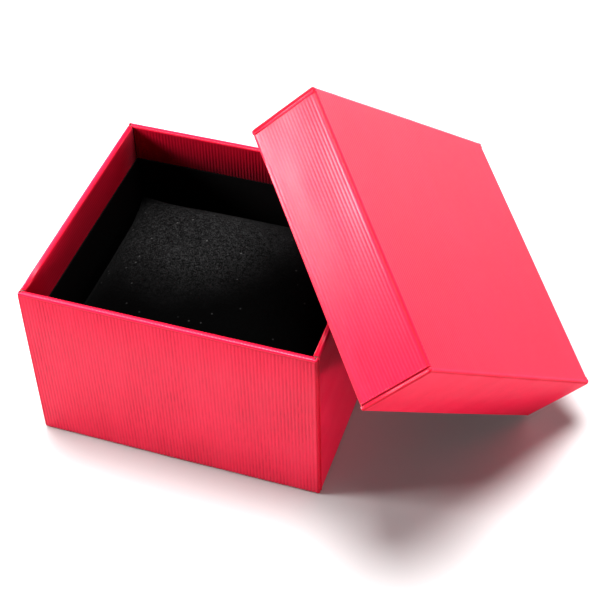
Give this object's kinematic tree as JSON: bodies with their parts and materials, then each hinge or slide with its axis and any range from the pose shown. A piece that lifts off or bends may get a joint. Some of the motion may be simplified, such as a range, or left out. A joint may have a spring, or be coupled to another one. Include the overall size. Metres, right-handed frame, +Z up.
{
  "type": "jewelry gift box",
  "caption": "Rigid gift box: ribbed paper wrapped tray with a black lining and a velvet pillow, and a telescoping lid leaning on its back right corner.",
  "frame": {"origin": "centre of the base tray's underside, on the surface that the box stands on", "axes": "+X from left to right along the tray's front wall, +Y from front to back, +Z up"},
  "size_m": [0.1503, 0.1219, 0.1035],
  "materials": {
    "ribbed_paper": "satin",
    "greyboard": "matte",
    "stay_tape": "matte",
    "black_card": "matte",
    "velvet": "matte",
    "fibre_filling": "matte",
    "thread": "satin"
  },
  "bodies": {
    "base": {"base_board": "greyboard", "base_corner_stay_1": "stay_tape", "base_corner_stay_2": "stay_tape", "base_corner_stay_3": "stay_tape", "base_corner_stay_4": "stay_tape", "base_wrap": "ribbed_paper", "base_liner_band": "black_card", "base_floor_pad": "black_card"},
    "lid": {"lid_board": "greyboard", "lid_corner_stay_1": "stay_tape", "lid_corner_stay_2": "stay_tape", "lid_corner_stay_3": "stay_tape", "lid_corner_stay_4": "stay_tape", "lid_wrap": "ribbed_paper", "lid_liner_pad": "black_card"},
    "pillow": {"pillow_cover_top": "velvet", "pillow_cover_bottom": "velvet", "pillow_filling": "fibre_filling", "pillow_closing_stitches": "thread"}
  },
  "joints": [
    {"name": "lid_lift", "type": "slide", "parent": "base", "child": "lid", "axis": [0, 0, 1], "range_m": [0, 0.09]},
    {"name": "pillow_lift", "type": "slide", "parent": "base", "child": "pillow", "axis": [0, 0, 1], "range_m": [0, 0.027]}
  ]
}
